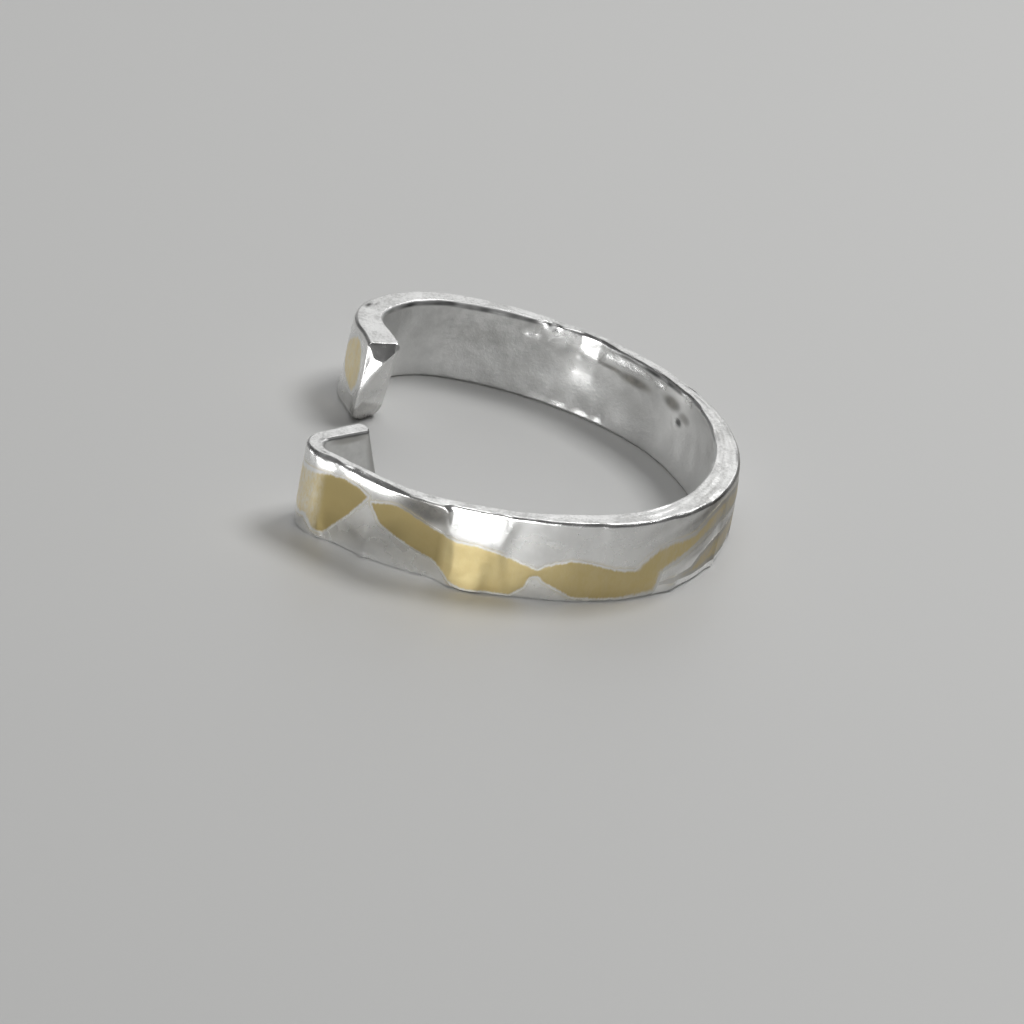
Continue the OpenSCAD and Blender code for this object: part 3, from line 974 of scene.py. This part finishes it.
def silver_material():
    """Silver, polished outside, satin inside and frosted on the rim, each a little uneven."""
    made = Material("silver", (0.76, 0.76, 0.75), 0.26)
    rim, inner, blush, dark_and_shade = made.read("zones")
    polished, black, painted_lit, _ = made.read("marks")
    cloudy = made.noise(0.9, 3)
    grain = made.noise(0.13, 3, 0.65)
    patches = made.ramp(made.noise(0.5, 3, 0.6), 0.3, 0.7)
    rough = made.ramp(cloudy, 0.3, 0.7, 0.22, 0.3)
    for zone, change in ((inner, 0.13), (rim, 0.10), (blush, 0.05), (polished, -0.12), (black, 0.4)):
        rough = made.plus(rough, made.times(zone, change))
    made.join(rough, made.shader.inputs["Roughness"])
    stain = made.ramp(made.noise(1.3, 4, 0.6), 0.35, 0.75)
    uneven = made.shares(cloudy, patches, 0.5)
    speckle = made.ramp(made.shares(grain, cloudy, 0.5), 0.36, 0.6)
    # Painted light makes the inner face paler in places
    inside = made.mix(painted_lit, made.mix(uneven, *SILVER_INSIDE), made.mix(uneven, *SILVER_PAINTED_LIT))
    metal = made.mix(inner, made.mix(stain, *SILVER_OUTSIDE), inside)
    metal = made.mix(rim, metal, made.mix(speckle, *SILVER_RIM))
    # Painted shade and dark reflections, and the darkening along the band
    metal = made.mix(dark_and_shade, metal, made.mix(patches, *SILVER_DARKENED))
    metal = made.mix(made.times(blush, 0.5), metal, GOLD_BLUSH)
    # Black in the pit and the nicks, and painted shade under the rim and on the front end's inner edge
    metal = made.mix(black, metal, BLACK_IN_PITS_AND_SHADE)
    made.join(metal, made.shader.inputs["Base Color"])
    grainy = made.plus(made.plus(rim, made.times(inner, 0.5)), 0.06)
    made.bump(made.times(grain, grainy), 0.025)
    return made.material


def gold_material():
    """Gold foil that is rubbed thin in places and fades into the silver at its edges."""
    made = Material("gold_foil", (0.83, 0.68, 0.34), 0.36)
    rubbed, dark, fade, darkening_and_shade = made.read("zones")
    worn = made.ramp(made.noise(0.7, 4, 0.6), 0.35, 0.7)
    # Painted shade darkens the gold where it should reflect shaded floor
    metal = made.mix(dark, made.mix(worn, *GOLD), GOLD_IN_SHADE)
    fine = made.noise(0.1, 3, 0.7, (1, 1, 0.35))
    patches = made.noise(0.45, 3, 0.6, (1, 1, 0.4))
    uneven = made.shares(fine, patches, 0.6)
    # The silver that shows through, darkened partly with painted shade
    silver = made.mix(darkening_and_shade, *SILVER_UNDER)
    metal = made.mix(made.times(rubbed, made.ramp(uneven, 0.34, 0.64, 0.25, 0.95)), metal, silver)
    edge = made.plus(fade, made.times(made.math("SUBTRACT", uneven, 0.5), 1.2))
    metal = made.mix(made.ramp(edge, 0.2, 0.8), metal, silver)
    made.join(metal, made.shader.inputs["Base Color"])
    made.join(made.ramp(made.noise(1.1, 3), 0.3, 0.7, 0.36, 0.44), made.shader.inputs["Roughness"])
    made.bump(made.noise(0.25, 3, 0.6), 0.008)
    return made.material


def make_floor():
    corners = [(x * FLOOR_HALF, y * FLOOR_HALF, 0) for x, y in ((-1, -1), (1, -1), (1, 1), (-1, 1))]
    mesh = bpy.data.meshes.new("floor")
    mesh.from_pydata(corners, [], [(0, 1, 2, 3)])
    mesh.materials.append(Material("floor", (0.63, 0.63, 0.62), 0.45, 0.0).material)
    linked("floor", mesh)


def make_light(name, azimuth, elevation, distance, width, height, power, on_floor):
    a, e = math.radians(azimuth), math.radians(elevation)
    towards = Vector((math.sin(a) * math.cos(e), math.cos(a) * math.cos(e), math.sin(e)))
    light = bpy.data.lights.new(name, "AREA")
    light.shape = "RECTANGLE"
    light.size, light.size_y = width, height
    light.energy = power
    thing = linked(name, light)
    thing.location = towards * distance
    thing.rotation_mode = "QUATERNION"
    thing.rotation_quaternion = towards.to_track_quat("Z", "Y")
    thing.visible_diffuse = on_floor


def make_world():
    """A dim studio with a broad soft light behind the ring and a paler band at the horizon."""
    world = bpy.data.worlds.new("studio")
    world.use_nodes = True
    tree = world.node_tree
    nodes, links = tree.nodes, tree.links
    direction = nodes.new("ShaderNodeTexCoord").outputs["Generated"]
    split = nodes.new("ShaderNodeSeparateXYZ")
    links.new(direction, split.inputs[0])
    towards = nodes.new("ShaderNodeVectorMath")
    towards.operation = "DOT_PRODUCT"
    elevation = math.radians(WINDOW_ELEVATION)
    towards.inputs[1].default_value = (0, math.cos(elevation), math.sin(elevation))
    links.new(direction, towards.inputs[0])
    total = nodes.new("ShaderNodeMath")
    total.operation = "ADD"
    horizon = smooth_ramp(tree, split.outputs["Z"], *HORIZON_LIGHT)
    window = smooth_ramp(tree, towards.outputs["Value"], *WINDOW_LIGHT)
    links.new(horizon, total.inputs[0])
    links.new(window, total.inputs[1])
    links.new(total.outputs[0], nodes["Background"].inputs["Color"])
    bpy.context.scene.world = world


def make_camera():
    """A long lens that looks down at the ring from the photograph's side."""
    elevation, roll = math.radians(CAMERA_ELEVATION), math.radians(CAMERA_ROLL)
    right = Vector((1, 0, 0))
    upwards = Vector((0, math.sin(elevation), math.cos(elevation)))
    back = Vector((0, -math.cos(elevation), math.sin(elevation)))
    image_right = right * math.cos(roll) + upwards * math.sin(roll)
    image_up = upwards * math.cos(roll) - right * math.sin(roll)
    data = bpy.data.cameras.new("camera")
    data.sensor_width = SENSOR_WIDTH
    data.lens = SENSOR_WIDTH * CAMERA_DISTANCE / (FRAME_WIDTH * MM)
    data.clip_start, data.clip_end = 0.01, 10
    thing = linked("camera", data)
    thing.rotation_mode = "QUATERNION"
    thing.rotation_quaternion = Matrix((image_right, image_up, back)).transposed().to_quaternion()
    thing.location = Vector(CAMERA_TARGET) * MM + back * CAMERA_DISTANCE
    bpy.context.scene.camera = thing


band, band_places = make_band()
give_zones(band, *band_places)
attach(band, "root")
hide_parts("band")
foils = [make_foil(name, *outline) for name, outline in FOILS.items()]
band.data.materials.append(silver_material())
gold = gold_material()
for foil in foils:
    foil.data.materials.append(gold)
make_floor()
for name, settings in LIGHTS.items():
    make_light(name, *settings)
make_world()
make_camera()
bpy.context.scene.view_settings.view_transform = "Standard"
